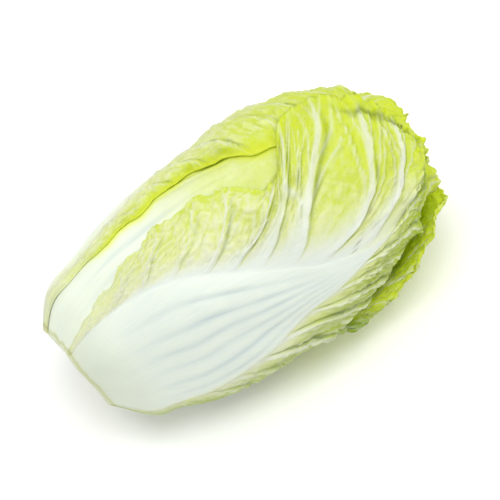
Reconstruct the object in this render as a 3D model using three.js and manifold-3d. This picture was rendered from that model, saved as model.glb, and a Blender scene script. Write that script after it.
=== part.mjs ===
// Napa cabbage, a barrel-shaped head of wrapped leaves lying on its side.
//
// The head lies along X with its cut root end at -X and its leafy top at +X, and +Z is up. The
// origin is under the middle of the head, on the surface that it lies on. Lengths are in
// millimetres and angles in degrees.
//
// Every leaf is a sheet laid on what lies under it. A place on the head is given by t, the
// distance along the heart's outline from the cut end towards the top, by a turn angle round
// the head's axis, and by a height above the heart. A lay-up map keeps the height reached so
// far, so each leaf further out drapes over the ribs and margins of the leaves inside it.

import * as THREE from 'three';
import { mergeVertices } from 'three/addons/utils/BufferGeometryUtils.js';
import Module from 'manifold-3d';

const wasm = await Module();
wasm.setup();

// ---------------------------------------------------------------- driving dimensions

const HEAD_TILT = 5.5;            // the root end lies lower than the leafy top
const AXIS_HEIGHT = 76.5;         // the head's axis above the surface, at mid length
const MIDDLE = new THREE.Vector2(-4.3, 0.9);  // the head axis' place over the origin: X, Y

const FIRST_MIDRIB = 25;          // the outermost midrib's turn above the -Y side
const DIVERGENCE = 140;           // turn from one leaf to the next one further in

const BLADE = 1.3;                // leaf blade thickness
const MARGIN = 0.8;               // leaf thickness at its margin
const STALK = 6.5;                // extra thickness of the midrib at the root end
const GAP = 0.75;                 // clearance between one leaf and the next
const DRAPE = 8;                  // a leaf spans dips narrower than about twice this

const PLEAT = 2.2;                // height of the blade's pleats, one for each side vein
const RUFFLE = 3;                 // height of the waves along a free margin
const LOBE = 2;                   // how far the margin stands out at each side vein, in degrees
const RIDGE = 0.9;                // height of the ridges along a midrib

// Outline of the heart, from the cut root end to the top: along the axis, radius.
const HEART_OUTLINE = [
  [-136, 22.5], [-129, 29], [-115, 37.5], [-90, 46.5], [-60, 57], [-20, 65.5], [10, 68.5],
  [40, 66.5], [65, 62], [85, 56], [105, 47], [120, 36.5], [131, 23], [137, 10.5], [139, 0],
];

const STEM_RADIUS = 21;
const STEM_DEPTH = 34;            // how far the stem reaches into the heart
const CUT_END = -138;             // the knife cut across stem and leaf bases
const CUT_SLANT = 0.12;           // the cut isn't square to the head: its slope, and the turn of
const CUT_HIGH_TURN = 140;        // the side where it leaves the leaf bases longest
const CUT_FADE = 75;              // the slant fades out over this length

// The head is pressed a little flat where it lies.
const SOFT_FROM = 12;             // height below which the head gives way
const PRESSED = 17;               // free height of what is squeezed below SOFT_FROM
const SQUEEZED = 12.5;            // its height once pressed, so its last 0.5 mm are the flat spot
const REST_PAD = 2;               // extra thickness of the leaf under the head, at the flat spot

const REST_PLACE = 140;           // distance along the head of the flat spot's middle

// ---------------------------------------------------------------- leaf outlines

// Half of a leaf's margin, from its base to its tip: distance along the head, angle from the
// midrib. The margin's n-th point is where the n-th side vein ends.
const WIDE_WING = [
  [0, 44], [36, 51], [70, 57], [102, 62], [132, 66], [160, 71], [187, 76], [213, 81],
  [237, 82], [258, 71], [275, 45], [286, 0],
];
// The outermost leaf is shorter, has a notch high on its upper margin, and slants below.
const FRONT_UPPER_WING = [
  [0, 46], [40, 58], [75, 64], [105, 65], [136, 66], [161, 57], [186, 47], [211, 71],
  [240, 84], [259, 69], [271, 49], [275, 24],
];
const FRONT_LOWER_WING = [
  [0, 46], [36, 54], [72, 60], [108, 60], [143, 58], [177, 55], [204, 52], [222, 48],
  [239, 41], [252, 30], [266, 10], [275, -24],
];
// The second leaf stays back below, so the rib of a leaf under it shows.
const SECOND_LOWER_WING = [
  [0, 44], [36, 50], [70, 55], [102, 57], [132, 54], [157, 58], [184, 74], [213, 82],
  [237, 80], [255, 68], [268, 46], [280, 0],
];
// The third is narrow above from mid length on, where the outermost leaf's margin lies beside it.
const UNDER_UPPER_WING = [
  [0, 44], [36, 51], [70, 57], [102, 57], [132, 45], [160, 29], [187, 20], [213, 22],
  [235, 30], [254, 39], [269, 36], [281, 0],
];

// How each side vein bends: how far its middle has come along the head, and round it, as shares
// of the way from the midrib to the margin.
const EVEN_BENDS = WIDE_WING.map(() => [0.72, 0.36]);
const FRONT_UPPER_BENDS = [
  ...EVEN_BENDS.slice(0, 7), [0.8, 0.36], [0.6, 0.3], [0.8, 0.1], [0.95, 0.27], [1, 0.36],
];
const FRONT_LOWER_BENDS = [...EVEN_BENDS.slice(0, 10), [0.85, 0.36], [1, 0.36]];

// A leaf: its place in the order of leaves, its reach as a share of the wings' length, its wings
// and how wide they are, how far its midrib bows round the head, how far its free margin flares
// outwards, and how finely it is modelled.
const outerLeaf = (order, changes = {}) => ({
  order, reach: 1, upper: WIDE_WING, lower: WIDE_WING, upperWidth: 1, lowerWidth: 1,
  upperBends: EVEN_BENDS, lowerBends: EVEN_BENDS, bow: 0, lowerFlare: 3, upperFlare: 3,
  rowsPerVein: 2, ribColumns: 3, bladeColumns: 5, ...changes,
});
const OUTER_LEAVES = [
  outerLeaf(0, { upper: FRONT_UPPER_WING, lower: FRONT_LOWER_WING, bow: -17,
    upperBends: FRONT_UPPER_BENDS, lowerBends: FRONT_LOWER_BENDS, lowerFlare: 1, upperFlare: 2,
    rowsPerVein: 3, ribColumns: 4, bladeColumns: 6 }),
  outerLeaf(1, { reach: 0.985, lower: SECOND_LOWER_WING, lowerFlare: 1, upperFlare: 9 }),
  outerLeaf(2, { reach: 1.01, upper: UNDER_UPPER_WING, lowerFlare: 6, upperFlare: 9 }),
  outerLeaf(3, { reach: 1.045, upperWidth: 0.9, lowerWidth: 0.95, lowerFlare: 3, upperFlare: 4 }),
  outerLeaf(4, { reach: 1.03 }),
  outerLeaf(5, { reach: 1.05, upperWidth: 0.92, lowerWidth: 0.92, ribColumns: 2, bladeColumns: 4 }),
  outerLeaf(6, { reach: 1.075, upperWidth: 0.9, lowerWidth: 0.9, ribColumns: 2, bladeColumns: 4 }),
  outerLeaf(7, { reach: 1.09, upperWidth: 0.9, lowerWidth: 0.9, ribColumns: 2, bladeColumns: 4 }),
];

// Leaves of the heart show only their tips, so they are modelled from mid length upwards.
const HEART_WING = [
  [190, 62], [213, 66], [234, 70], [253, 74], [269, 72], [281, 58], [287, 0],
];
const heartLeaf = (order, reach) => outerLeaf(order, {
  reach, upper: HEART_WING, lower: HEART_WING, ribColumns: 1, bladeColumns: 3, ofHeart: true,
});
const HEART_LEAVES = [
  heartLeaf(8, 1.07), heartLeaf(9, 1.08), heartLeaf(10, 1.09), heartLeaf(11, 1.1),
  heartLeaf(12, 1.11),
];

const RESTS_ON = 2;               // the order of the leaf under the head

// ---------------------------------------------------------------- the head's own coordinates

const radians = THREE.MathUtils.degToRad;
const { lerp, clamp, smoothstep } = THREE.MathUtils;

const outline = new THREE.SplineCurve(HEART_OUTLINE.map(([x, r]) => new THREE.Vector2(x, r)));
outline.arcLengthDivisions = 600;
const HEAD_REACH = outline.getLength();

// Along the flank the height is measured square to the axis, and over the top square to the
// outline, so that no two of these directions meet outside the heart.
function outlineAt(t) {
  const u = clamp(t / HEAD_REACH, 0, 1);
  const place = outline.getPointAt(u);
  const along = outline.getTangentAt(u);
  const lean = Math.atan2(-along.y, along.x);
  return { place, lean: lean > 0 ? lean : 0.3 * lean };
}

// Heights are squeezed near the cut end, where the leaf bases run into the stem.
const baseSqueeze = (t) => lerp(0.45, 1, smoothstep(t, 0, 36));

function onHead(t, turn, height) {
  const { place, lean } = outlineAt(t);
  const h = height * baseSqueeze(t);
  const x = place.x + h * Math.sin(lean);
  const r = Math.max(place.y + h * Math.cos(lean), 0);
  return new THREE.Vector3(x, -r * Math.cos(radians(turn)), r * Math.sin(radians(turn)));
}

// Slants the cut end, and turns a point of the head to where it lies, pressed flat underneath.
function lyingDown(point) {
  const slant = CUT_SLANT * (1 - smoothstep(point.x, CUT_END, CUT_END + CUT_FADE));
  const high = radians(CUT_HIGH_TURN);
  point.x += slant * (point.y * Math.cos(high) - point.z * Math.sin(high));
  point.applyAxisAngle(new THREE.Vector3(0, 1, 0), -radians(HEAD_TILT));
  point.add(new THREE.Vector3(MIDDLE.x, MIDDLE.y, AXIS_HEIGHT));
  if (point.z < SOFT_FROM) {
    const depth = (SOFT_FROM - point.z) / PRESSED;
    const entry = PRESSED / SQUEEZED;
    point.z = SOFT_FROM - SQUEEZED * (entry * depth - (entry - 1) * depth * depth);
  }
  return point;
}

// ---------------------------------------------------------------- lay-up map

const MAP_T = 2.5;                // cell size along the head
const MAP_TURN = 2;               // cell size round the head
const MAP_ROWS = Math.ceil(HEAD_REACH / MAP_T) + 2;
const MAP_COLUMNS = 360 / MAP_TURN;

class HeightMap {
  constructor() {
    this.values = new Float32Array(MAP_ROWS * MAP_COLUMNS);
  }

  index(row, column) {
    const wrapped = ((column % MAP_COLUMNS) + MAP_COLUMNS) % MAP_COLUMNS;
    return clamp(row, 0, MAP_ROWS - 1) * MAP_COLUMNS + wrapped;
  }

  // The four cells round a place, each with its share of it.
  corners(t, turn) {
    const row = clamp(t / MAP_T, 0, MAP_ROWS - 1.001);
    const column = turn / MAP_TURN;
    const [r, c] = [Math.floor(row), Math.floor(column)];
    const [fr, fc] = [row - r, column - c];
    return [
      [this.index(r, c), (1 - fr) * (1 - fc)], [this.index(r, c + 1), (1 - fr) * fc],
      [this.index(r + 1, c), fr * (1 - fc)], [this.index(r + 1, c + 1), fr * fc],
    ];
  }

  at(t, turn) {
    return this.corners(t, turn).reduce((sum, [i, share]) => sum + share * this.values[i], 0);
  }

  raise(t, turn, height) {
    for (const [i] of this.corners(t, turn)) this.values[i] = Math.max(this.values[i], height);
  }

  // Each cell becomes what `join` makes of the cells within `reach` of it, first along the
  // head and then round it.
  swept(reach, join) {
    const made = new HeightMap();
    const half = new HeightMap();
    const steps = Array.from({ length: 2 * reach + 1 }, (_, i) => i - reach);
    for (let r = 0; r < MAP_ROWS; r++)
      for (let c = 0; c < MAP_COLUMNS; c++)
        half.values[this.index(r, c)] = join(steps.map((s) => this.values[this.index(r + s, c)]));
    for (let r = 0; r < MAP_ROWS; r++)
      for (let c = 0; c < MAP_COLUMNS; c++)
        made.values[this.index(r, c)] = join(steps.map((s) => half.values[this.index(r, c + s)]));
    return made;
  }
}

const highest = (list) => Math.max(...list);
const average = (list) => list.reduce((a, b) => a + b, 0) / list.length;
const drapeCells = Math.round(DRAPE / MAP_T);

// ---------------------------------------------------------------- one leaf

const turnOf = (leaf) => FIRST_MIDRIB + leaf.order * DIVERGENCE;
const veinsOf = (leaf) => leaf.upper.length - 1;
const lengthOf = (leaf) => leaf.upper.at(-1)[0] * leaf.reach;
const startOf = (leaf) => leaf.upper[0][0];

// Half width of the midrib in degrees round the head, from the leaf's base to its tip.
const RIB_WIDTH = [[0, 41], [0.12, 43], [0.27, 37], [0.5, 23], [0.7, 11], [0.88, 3], [1, 0]];
const BOWED = [40, 290];          // distances along the head between which a midrib bows

// The place at a share of a smooth curve through points.
function through(points, share) {
  const curve = new THREE.SplineCurve(points.map(([x, y]) => new THREE.Vector2(x, y)));
  return curve.getPoint(clamp(share, 0, 1));
}

// A place on a leaf, where `vein` counts side veins from the base and `across` runs from -2 at
// the lower margin through 0 on the midrib to 2 at the upper one, with the midrib within 1.
function leafPlace(leaf, vein, across) {
  const side = across < 0 ? -1 : 1;
  const [wing, width, bends] = side < 0
    ? [leaf.lower, leaf.lowerWidth, leaf.lowerBends]
    : [leaf.upper, leaf.upperWidth, leaf.upperBends];
  const share = vein / veinsOf(leaf);
  const margin = through(wing, share);
  const bend = through(bends, share);
  const start = startOf(leaf);
  const end = lengthOf(leaf);
  const leaves = lerp(start, start + 0.9 * (end - start), share);
  const bow = leaf.bow * smoothstep(leaves, ...BOWED);
  const rib = side * Math.max(through(RIB_WIDTH, leaves / end).y, 0) * (1 - share ** 8);
  const inRib = Math.min(Math.abs(across), 1);
  const out = Math.max(Math.abs(across) - 1, 0);
  const marginT = start + (margin.x - start) * ((end - start) / (wing.at(-1)[0] - start));
  const marginTurn = side * margin.y * width;
  // A quadratic curve that leaves the midrib at a slant and ends nearly square to it.
  const bendT = lerp(leaves, marginT, bend.x);
  const bendTurn = lerp(bow + rib, marginTurn, bend.y);
  const t = (1 - out) ** 2 * leaves + 2 * out * (1 - out) * bendT + out ** 2 * marginT;
  const lobe = LOBE * Math.cos(2 * Math.PI * vein) * out ** 3 * (1 - share ** 6);
  const turn = out > 0
    ? (1 - out) ** 2 * (bow + rib) + 2 * out * (1 - out) * bendTurn + out ** 2 * marginTurn
      + side * lobe
    : bow + rib * inRib;
  return { t, turn: turnOf(leaf) + turn, share, inRib, out, side };
}

// Blade pleats and margin waves; both lie flat where another leaf presses on them.
function billow(leaf, vein, place, cover) {
  const { out, share, side } = place;
  const ease = smoothstep(out, 0.02, 0.35) * smoothstep(share, 0.03, 0.25);
  const pleat = PLEAT * ease * (0.5 + 0.5 * Math.cos(2 * Math.PI * vein));
  const swell = 0.75 + 0.25 * Math.sin(2.3 * vein + 1.9 * leaf.order + side);
  const wave = 0.5 + 0.5 * Math.cos(2 * Math.PI * vein + 0.4 * Math.sin(leaf.order + vein));
  const free = smoothstep(out, 0.55, 1) * smoothstep(share, 0.1, 0.6);
  const flare = lerp(leaf.lowerFlare, leaf.upperFlare, 0.5 + 0.5 * side * smoothstep(out, 0, 0.3))
    * smoothstep(out, 0.35, 1) * smoothstep(share, 0.3, 0.5) * (1 - 0.7 * smoothstep(share, 0.85, 1));
  const ruffle = RUFFLE * swell * wave * free + flare;
  return pleat * (1 - 0.75 * cover) + ruffle * (1 - cover);
}

function leafHeights(leaf, vein, across, under, cover) {
  const place = leafPlace(leaf, vein, across);
  const { t, turn, inRib, out } = place;
  const share = t / lengthOf(leaf);
  const body = STALK * (1 - smoothstep(share, 0.1, 0.85)) * (1 - inRib ** 2) ** 0.8;
  const ridges = RIDGE * (0.5 - 0.5 * Math.cos(2 * Math.PI * 2 * inRib)) * (1 - inRib)
    * (1 - smoothstep(share, 0.55, 0.85));
  const blade = lerp(BLADE, MARGIN, smoothstep(out, 0.6, 1));
  const turnDown = Math.abs(((turn + 90 + 540) % 360) - 180);
  const padded = (1 - smoothstep(turnDown, 18, 34))
    * (1 - smoothstep(Math.abs(t - REST_PLACE), 60, 90));
  const pad = leaf.order === RESTS_ON ? REST_PAD * padded : 0;
  const inner = under.at(t, turn) + GAP / baseSqueeze(t)
    + billow(leaf, vein, place, cover.at(t, turn));
  return { ...place, inner, outer: inner + blade / baseSqueeze(t) + body + ridges + pad };
}

// ---------------------------------------------------------------- sheets to solids

const SHEET_VEIN_STEP = 1 / 8;
const SHEET_ACROSS_STEP = 1 / 24;

// Visits a leaf densely enough to leave no hole in the map.
function overLeaf(leaf, visit) {
  for (let vein = 0; vein <= veinsOf(leaf); vein += SHEET_VEIN_STEP)
    for (let across = -2; across <= 2; across += SHEET_ACROSS_STEP) visit(vein, across);
}

// Columns of a leaf from its lower margin to its upper one, as values of `across`.
function columnsOf(leaf) {
  const rib = Array.from({ length: leaf.ribColumns + 1 }, (_, i) => i / leaf.ribColumns);
  const blade = Array.from({ length: leaf.bladeColumns }, (_, i) => 1 + (i + 1) / leaf.bladeColumns);
  const half = [...rib, ...blade];
  return [...half.slice(1).map((a) => -a).reverse(), ...half];
}

// Joins an inner and an outer grid of points into one closed solid. The last row is folded on
// itself at the leaf's tip, so its two halves are one line.
function solidBetween(inner, outer) {
  const rows = inner.length;
  const columns = inner[0].length;
  const positions = [];
  const triangles = [];
  const known = {};
  const vertex = (point) => {
    const key = point.toArray().map((v) => v.toFixed(3)).join();
    if (!(key in known)) {
      known[key] = positions.length / 3;
      positions.push(...point.toArray());
    }
    return known[key];
  };
  const triangle = (a, b, c) => {
    const [i, j, k] = [a, b, c].map(vertex);
    if (i !== j && j !== k && i !== k) triangles.push(i, k, j);
  };
  const quad = (a, b, c, d) => {
    triangle(a, b, c);
    triangle(a, c, d);
  };
  for (let r = 0; r < rows - 1; r++)
    for (let c = 0; c < columns - 1; c++) {
      quad(outer[r][c], outer[r][c + 1], outer[r + 1][c + 1], outer[r + 1][c]);
      triangle(inner[r][c], inner[r + 1][c + 1], inner[r][c + 1]);
      triangle(inner[r][c], inner[r + 1][c], inner[r + 1][c + 1]);
    }
  for (let r = 0; r < rows - 1; r++) {
    quad(inner[r][0], outer[r][0], outer[r + 1][0], inner[r + 1][0]);
    const e = columns - 1;
    quad(outer[r][e], inner[r][e], inner[r + 1][e], outer[r + 1][e]);
  }
  for (let c = 0; c < columns - 1; c++)
    quad(inner[0][c], inner[0][c + 1], outer[0][c + 1], outer[0][c]);
  return new wasm.Manifold(new wasm.Mesh({
    numProp: 3,
    vertProperties: new Float32Array(positions),
    triVerts: new Uint32Array(triangles),
  }));
}

// A leaf of the heart grows out of the core and stands free only along its margin.
function rooted(leaf, place) {
  if (!leaf.ofHeart) return place.inner;
  const free = Math.max(smoothstep(place.out, 0.6, 0.99), smoothstep(place.share, 0.8, 0.98));
  return lerp(-2, place.inner, free);
}

// Rows of a leaf from its base to its tip, as counts of side veins; the tight bend at the base
// has more of them.
function rowsOf(leaf) {
  const rows = [];
  for (let vein = 0; vein < veinsOf(leaf); vein++) {
    const parts = vein === 0 && !leaf.ofHeart ? 4 : leaf.rowsPerVein;
    for (let i = 0; i < parts; i++) rows.push(vein + i / parts);
  }
  return [...rows, veinsOf(leaf)];
}

// The leaf as a grid of places, lifted where a flat facet would cut into what lies under it.
function leafGrid(leaf, under, cover, height) {
  const rows = rowsOf(leaf);
  const columns = columnsOf(leaf);
  const grid = rows.map((vein) => columns.map((across) => {
    // The tip row's two halves are the same line.
    const here = vein === veinsOf(leaf) ? Math.abs(across) : across;
    return leafHeights(leaf, vein, here, under, cover);
  }));
  for (let pass = 0; pass < 6; pass++) {
    overFacets(grid, 'inner', (corners, shares, t, turn, low) => {
      const lift = height.at(t, turn) + GAP / baseSqueeze(t) - low;
      if (lift > 0.01)
        corners.forEach((p, i) => {
          p.inner += shares[i] * lift;
          p.outer += shares[i] * lift;
        });
    });
    grid.at(-1).forEach((p, c, row) => {
      const twin = row[row.length - 1 - c];
      p.inner = twin.inner = Math.max(p.inner, twin.inner);
      p.outer = twin.outer = Math.max(p.outer, twin.outer);
    });
  }
  return grid;
}

const MOST_SAG = 1;

// Places spread over a triangle, as shares of its corners.
const SPREAD = [];
for (let i = 0; i <= 6; i++)
  for (let j = 0; j <= 6 - i; j++) SPREAD.push([i / 6, j / 6, (6 - i - j) / 6]);

const mix = (corners, shares, pick) => corners.reduce((sum, p, i) => sum + shares[i] * pick(p), 0);

// Visits places spread over each flat facet of a grid's inner or outer face, with the height of
// the facet itself there, which lies below the curved sheet that it stands for.
function overFacets(grid, face, visit) {
  const placed = grid.map((row) => row.map((p) => ({ p, at: onHead(p.t, p.turn, p[face]) })));
  for (let r = 0; r < grid.length - 1; r++)
    for (let c = 0; c < grid[r].length - 1; c++) {
      const [a, b, d, e] = [placed[r][c], placed[r][c + 1], placed[r + 1][c + 1], placed[r + 1][c]];
      for (const corners of [[a, b, d], [a, d, e]])
        for (const shares of SPREAD) {
          const t = mix(corners, shares, (k) => k.p.t);
          const turn = mix(corners, shares, (k) => k.p.turn);
          const sheet = mix(corners, shares, (k) => k.p[face]);
          const onSheet = onHead(t, turn, sheet);
          const outward = onHead(t, turn, sheet + 1).sub(onSheet);
          const sunk = ['x', 'y', 'z'].reduce((sum, axis) =>
            sum + (mix(corners, shares, (k) => k.at[axis]) - onSheet[axis]) * outward[axis], 0);
          const sag = clamp(sunk / outward.lengthSq(), -MOST_SAG, MOST_SAG);
          visit(corners.map((k) => k.p), shares, t, turn, sheet + sag);
        }
    }
}

// A place on the head as it lies, kept at least `floor` above the surface.
function resting(t, turn, height, floor) {
  const point = lyingDown(onHead(t, turn, height));
  point.z = Math.max(point.z, floor);
  return point;
}

function leafSolid(leaf, grid) {
  const inner = grid.map((row) => row.map((p) => resting(p.t, p.turn, rooted(leaf, p), MARGIN)));
  const outer = grid.map((row) => row.map((p) => resting(p.t, p.turn, p.outer, 0)));
  return solidBetween(inner, outer);
}

// ---------------------------------------------------------------- heart and stem

const AROUND = 24;

// A lathe about the head's axis; the profile gives places along the axis and radii.
function turned(profile) {
  const geometry = new THREE.LatheGeometry(
    profile.map(([x, r]) => new THREE.Vector2(r, x)), AROUND);
  geometry.deleteAttribute('normal');
  geometry.deleteAttribute('uv');
  geometry.applyMatrix4(new THREE.Matrix4().makeRotationZ(-Math.PI / 2));
  const merged = mergeVertices(geometry, 1e-3);
  const place = merged.attributes.position;
  for (let i = 0; i < place.count; i++) {
    const point = lyingDown(new THREE.Vector3().fromBufferAttribute(place, i));
    place.setXYZ(i, point.x, point.y, point.z);
  }
  const triVerts = new Uint32Array(merged.index.array);
  const solid = new wasm.Manifold(new wasm.Mesh({
    numProp: 3, vertProperties: place.array, triVerts,
  }));
  if (solid.volume() > 0) return solid;
  for (let i = 0; i < triVerts.length; i += 3)
    [triVerts[i + 1], triVerts[i + 2]] = [triVerts[i + 2], triVerts[i + 1]];
  return new wasm.Manifold(new wasm.Mesh({
    numProp: 3, vertProperties: place.array, triVerts,
  }));
}

function stemSolid() {
  const tip = CUT_END + STEM_DEPTH;
  return turned([
    [CUT_END, 0], [CUT_END, STEM_RADIUS], [CUT_END + 3, STEM_RADIUS],
    [tip - 6, 0.4 * STEM_RADIUS], [tip, 0],
  ]);
}

function coreSolid() {
  const socket = 0.4;
  const tip = CUT_END + STEM_DEPTH + socket;
  const skin = outline.getSpacedPoints(18).map((p) => [p.x - 1, p.y - 1]);
  skin[skin.length - 1][1] = 0;
  return turned([
    [tip, 0], [tip - 6, 0.4 * STEM_RADIUS + socket], [CUT_END + 3, STEM_RADIUS + socket],
    [CUT_END, STEM_RADIUS + socket], ...skin,
  ]);
}

// ---------------------------------------------------------------- putting the head together

const leaves = [...OUTER_LEAVES, ...HEART_LEAVES];

// Which leaves lie over each one, as a soft-edged map.
const covers = [];
let covered = new HeightMap();
for (const leaf of leaves) {
  covers.push(covered.swept(1, average));
  const next = new HeightMap();
  next.values.set(covered.values);
  overLeaf(leaf, (vein, across) => {
    const { t, turn } = leafPlace(leaf, vein, across);
    next.raise(t, turn, 1);
  });
  covered = next;
}

// Leaves are laid up from the innermost outwards.
const height = new HeightMap();
const solids = [];
for (const leaf of [...leaves].reverse()) {
  const cover = covers[leaf.order];
  const under = height.swept(drapeCells, highest).swept(drapeCells, average);
  const grid = leafGrid(leaf, under, cover, height);
  solids[leaf.order] = leafSolid(leaf, grid);
  overFacets(grid, 'outer', (corners, shares, t, turn, top) => height.raise(t, turn, top));
}

// The largest shell of the joined heart is its outside; pockets closed off inside are filled.
const heart = HEART_LEAVES.reduce((whole, leaf) => whole.add(solids[leaf.order]), coreSolid())
  .decompose().reduce((a, b) => (a.volume() > b.volume() ? a : b));

function meshOf(name, solid, color) {
  const { vertProperties, triVerts } = solid.getMesh();
  const geometry = new THREE.BufferGeometry();
  geometry.setAttribute('position', new THREE.BufferAttribute(vertProperties, 3));
  geometry.setIndex(new THREE.BufferAttribute(triVerts, 1));
  geometry.computeVertexNormals();
  const material = new THREE.MeshStandardMaterial({ color, roughness: 0.45, metalness: 0 });
  const mesh = new THREE.Mesh(geometry, material);
  mesh.name = name;
  return mesh;
}

const head = new THREE.Group();
head.name = 'napa_cabbage';
OUTER_LEAVES.forEach((leaf) => {
  head.add(meshOf(`outer_leaf_${leaf.order + 1}`, solids[leaf.order], 0xdfe9a8));
});
head.add(meshOf('heart', heart, 0xeaf08c));
head.add(meshOf('stem', stemSolid(), 0xf3efd6));

export default head;
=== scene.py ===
import math

import bmesh
import bpy
import numpy as np
from mathutils import Matrix, Vector


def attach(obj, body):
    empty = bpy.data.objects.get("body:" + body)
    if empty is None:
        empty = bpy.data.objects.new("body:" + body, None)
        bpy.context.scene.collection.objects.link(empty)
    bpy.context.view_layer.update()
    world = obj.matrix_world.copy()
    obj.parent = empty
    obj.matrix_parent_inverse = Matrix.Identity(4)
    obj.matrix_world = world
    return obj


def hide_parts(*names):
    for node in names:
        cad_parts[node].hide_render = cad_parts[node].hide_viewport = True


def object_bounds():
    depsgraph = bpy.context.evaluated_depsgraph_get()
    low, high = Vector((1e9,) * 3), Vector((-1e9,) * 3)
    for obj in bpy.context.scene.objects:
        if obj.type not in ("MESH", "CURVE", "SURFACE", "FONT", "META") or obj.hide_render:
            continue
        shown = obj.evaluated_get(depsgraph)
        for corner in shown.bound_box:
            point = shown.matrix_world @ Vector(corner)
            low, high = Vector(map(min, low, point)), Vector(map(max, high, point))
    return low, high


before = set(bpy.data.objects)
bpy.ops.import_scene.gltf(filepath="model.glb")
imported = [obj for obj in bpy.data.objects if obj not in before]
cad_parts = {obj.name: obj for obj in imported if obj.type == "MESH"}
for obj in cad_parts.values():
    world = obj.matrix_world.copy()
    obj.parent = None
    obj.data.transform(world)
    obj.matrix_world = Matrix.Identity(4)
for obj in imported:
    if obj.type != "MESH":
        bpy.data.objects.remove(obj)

bl_info = {
    "name": "Napa cabbage",
    "version": (1, 0, 0),
    "blender": (4, 5, 0),
    "location": "View3D > Sidebar > Cabbage",
    "description": "A head of napa cabbage: wrapped leaves with ribs, veins and ruffled margins",
    "category": "Add Mesh",
}

CAD_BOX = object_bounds()
MM = 0.001

# ---------------------------------------------------------------- the head's driving dimensions
# Millimetres and degrees. The head lies along X with its cut root end at -X.

# How the head lies: its tilt, the height of its axis and where its middle comes
HEAD_TILT = 5.5
AXIS_HEIGHT = 76.5
MIDDLE = (-4.3, 0.9)
# Turn of the outermost leaf's midrib, and the turn from each leaf to the next one further in
FIRST_MIDRIB = 25
DIVERGENCE = 140

# Thickness of a margin, and what a midrib and the stalk at its base add to the blade
MARGIN = 0.7
RIB_EXTRA = 0.8
STALK = 6.5
# Reach of the smoothing with which a leaf lies over those inside it
DRAPE = 8
# A free margin's wide ruffles, its lobes at the side veins, its curl and the rolled-over margin
RUFFLE = 3
LOBE = 1.3
CURL = 1.6
ROLL = 3.4

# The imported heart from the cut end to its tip: place along the axis, radius
HEART_OUTLINE = [
    (-136, 22.5), (-129, 29), (-115, 37.5), (-90, 46.5), (-60, 57), (-20, 65.5), (10, 68.5),
    (40, 66.5), (65, 62), (85, 56), (105, 47), (120, 36.5), (131, 23), (137, 10.5), (139, 0),
]
CORE_INSET = 1
# The stem: its radius and length, the tapered end inside the heart and the heart's clearance
STEM_RADIUS = 21
STEM_DEPTH = 34
STEM_TAPER = 6
STEM_TIP_RADIUS = 0.4 * STEM_RADIUS
STEM_CLEARANCE = 0.4
CUT_END = -138

# Slope of the cut, the turn of its highest side, and how far along the head the slant fades
CUT_SLANT = 0.12
CUT_HIGH_TURN = 140
CUT_FADE = 75

# Below SOFT_FROM the head is pressed: what hangs PRESSED deep is squeezed into SQUEEZED
SOFT_FROM = 12
PRESSED = 17
SQUEEZED = 12.5
# The thick patch that the head rests on: thickness, distance along the head
REST_PAD = 2
REST_PLACE = 140

# Half of a leaf's margin from base to tip: distance along the head, angle from the midrib. The
# n-th point is where the n-th side vein ends.
WIDE_WING = [
    (0, 44), (36, 51), (70, 57), (102, 62), (132, 66), (160, 71), (187, 76), (213, 81),
    (237, 82), (258, 71), (275, 45), (286, 0),
]
FRONT_UPPER_WING = [
    (0, 46), (40, 58), (75, 64), (105, 65), (136, 66), (161, 57), (186, 47), (211, 71),
    (240, 84), (259, 69), (271, 49), (275, 24),
]
FRONT_LOWER_WING = [
    (0, 46), (36, 54), (72, 60), (108, 60), (143, 58), (177, 55), (204, 52), (222, 48),
    (239, 41), (252, 30), (266, 10), (275, -24),
]
SECOND_LOWER_WING = [
    (0, 44), (36, 50), (70, 55), (102, 57), (132, 54), (157, 58), (184, 74), (213, 82),
    (237, 80), (255, 68), (268, 46), (280, 0),
]
UNDER_UPPER_WING = [
    (0, 44), (36, 51), (70, 57), (102, 57), (132, 45), (160, 29), (187, 20), (213, 22),
    (235, 30), (254, 39), (269, 36), (281, 0),
]
HEART_WING = [(190, 62), (213, 66), (234, 70), (253, 74), (269, 72), (281, 58), (287, 0)]
# Small dark specks on the outermost midrib: distance along the head, angle from the midrib
FRONT_SPECKS = [(204.5, -7.0), (207, -5.2), (209.5, -4.2)]
SPECK_SIZE = 0.75
# Where light comes through the second leaf's lower margin: along the head, and its width
LIT_FROM = (40, 75)
LIT_TO = (222, 245)
LIT_WIDTH = 3.6
# How a side vein bends, at the same points: how far its middle has come along the head, and round
# it, of the way from the midrib to the margin, and how much earlier than evenly it leaves the rib.
EVEN_BEND = (0.72, 0.36, 0)
EVEN_BENDS = [EVEN_BEND] * 12
FRONT_UPPER_BENDS = [EVEN_BEND] * 6 + [
    (0.72, 0.36, -7), (0.8, 0.36, -13), (0.69, 0.28, -17), (0.92, 0.03, -26), (1.08, 0.27, -14),
    (1.0, 0.36, 0)]
FRONT_LOWER_BENDS = [EVEN_BEND] * 10 + [(0.85, 0.36, 0), (1.0, 0.36, 0)]
# Half of a midrib's width in degrees, at even steps from the leaf's base to its tip
RIB_WIDTHS = [(41,), (43,), (37,), (23,), (11,), (3,), (0,)]
# Where furrows run along a midrib, from -1 at its lower side to 1 at its upper one
RIB_FURROWS = (-0.7, -0.38, 0.0, 0.36, 0.7)
FRONT_RIB_FURROWS = (0.62, 0.3, 0.04, -0.22, -0.48, -0.74)


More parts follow.
